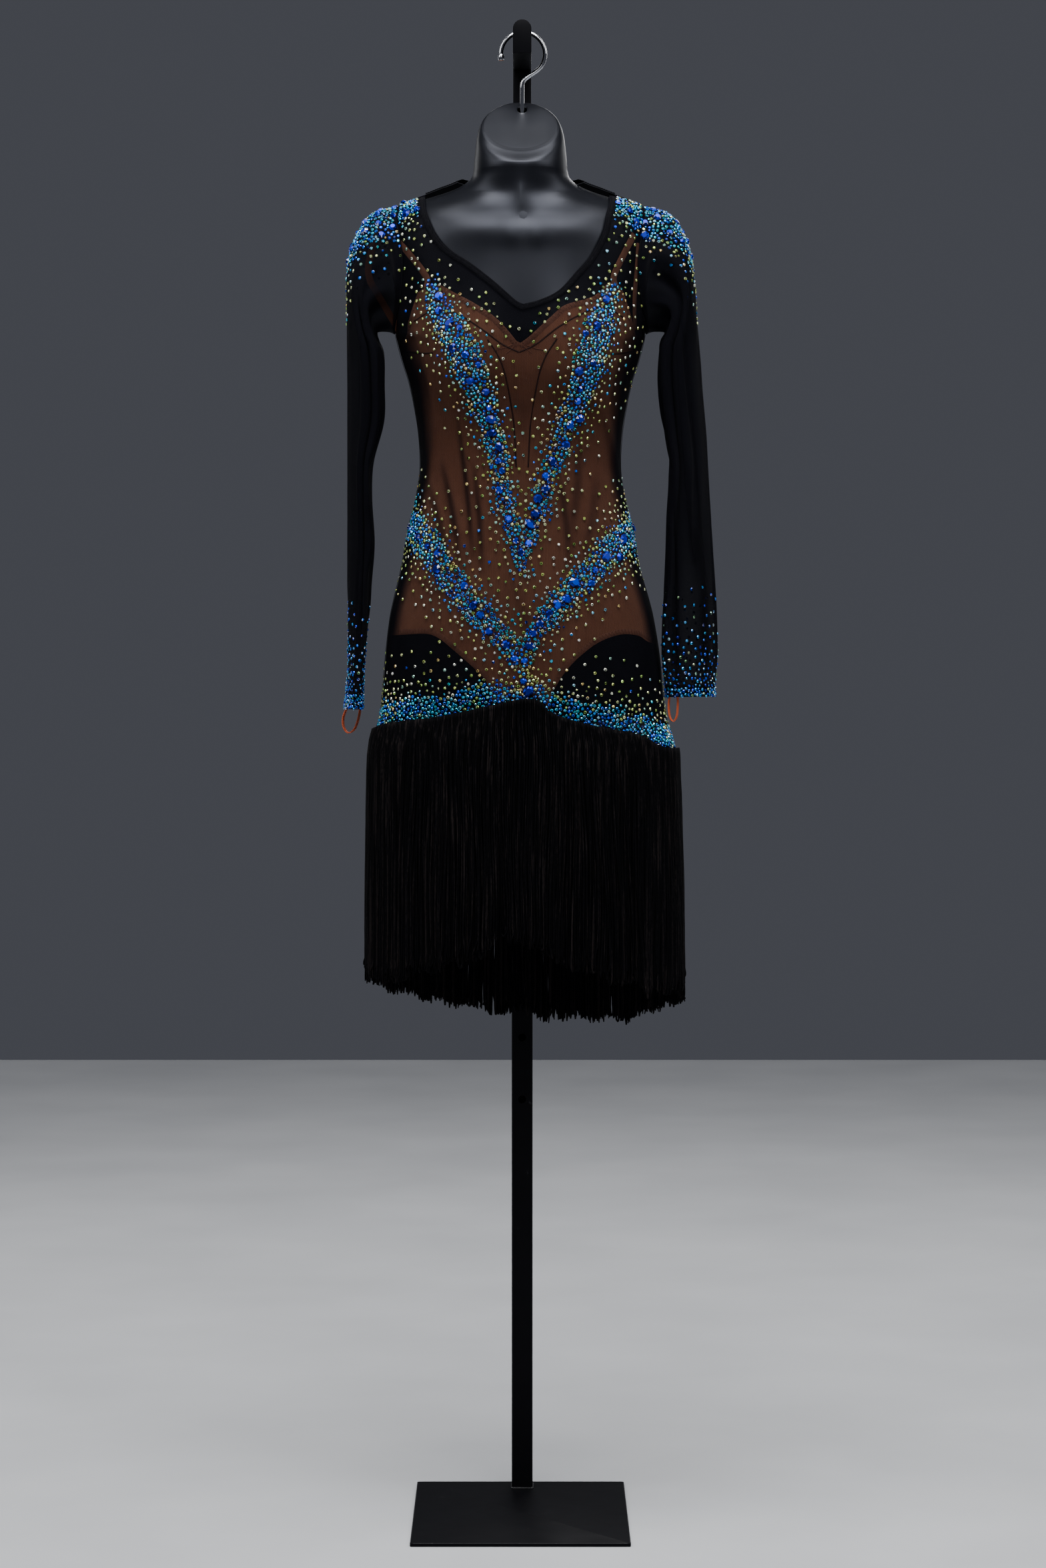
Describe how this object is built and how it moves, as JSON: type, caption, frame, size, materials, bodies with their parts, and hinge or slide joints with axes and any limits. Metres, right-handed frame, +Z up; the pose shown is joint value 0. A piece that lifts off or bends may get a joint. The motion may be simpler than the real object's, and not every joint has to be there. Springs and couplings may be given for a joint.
{
  "type": "latin dance dress on a hanging dress form and stand",
  "caption": "Black stretch-mesh latin dance dress with long sleeves, brown bodysuit and fringe skirt, worn by a hollow limbless dress form that hangs on a telescoping stand.",
  "frame": {"origin": "centre of the base plate's underside, on the floor", "axes": "+Z up; the front of the dress faces -Y; the wearer's left is at +X"},
  "size_m": [0.4449, 0.3212, 1.775],
  "materials": {
    "black_mesh": "sheer stretch mesh",
    "brown_jersey": "matt stretch jersey",
    "black_fringe": "twisted rayon cords",
    "loop_elastic": "satin elastic ribbon",
    "form_plastic": "satin",
    "powder_coat": "fine satin powder coat",
    "hook_chrome": "polished"
  },
  "bodies": {
    "base": {"base_plate": "powder_coat", "outer_tube": "powder_coat", "clamp_screw": "powder_coat"},
    "mast": {"inner_tube": "powder_coat", "support_arm": "powder_coat", "arm_stop": "powder_coat", "swivel_hook": "hook_chrome", "hook_tip": "hook_chrome", "hook_nut": "hook_chrome"},
    "form": {"form_shell": "form_plastic", "hook_seat": "form_plastic", "mesh_front": "black_mesh", "mesh_back": "black_mesh", "sleeve_left": "black_mesh", "sleeve_right": "black_mesh", "neck_binding": "black_mesh", "bodysuit_front": "brown_jersey", "bodysuit_back": "brown_jersey", "bodysuit_gusset": "brown_jersey", "strap_front_left": "brown_jersey", "strap_front_right": "brown_jersey", "strap_side_left": "brown_jersey", "strap_side_right": "brown_jersey", "fringe_front": "black_fringe", "fringe_back": "black_fringe", "finger_loop_left": "loop_elastic", "finger_loop_right": "loop_elastic"}
  },
  "joints": [
    {"name": "mast_height", "type": "slide", "parent": "base", "child": "mast", "axis": [0, 0, 1], "range_m": [-0.3, 0.15]},
    {"name": "form_swivel", "type": "hinge", "parent": "mast", "child": "form", "pos_m": [0.002, 0.005, 1.65], "axis": [0, 0, 1], "range_deg": [-20, 20]}
  ]
}
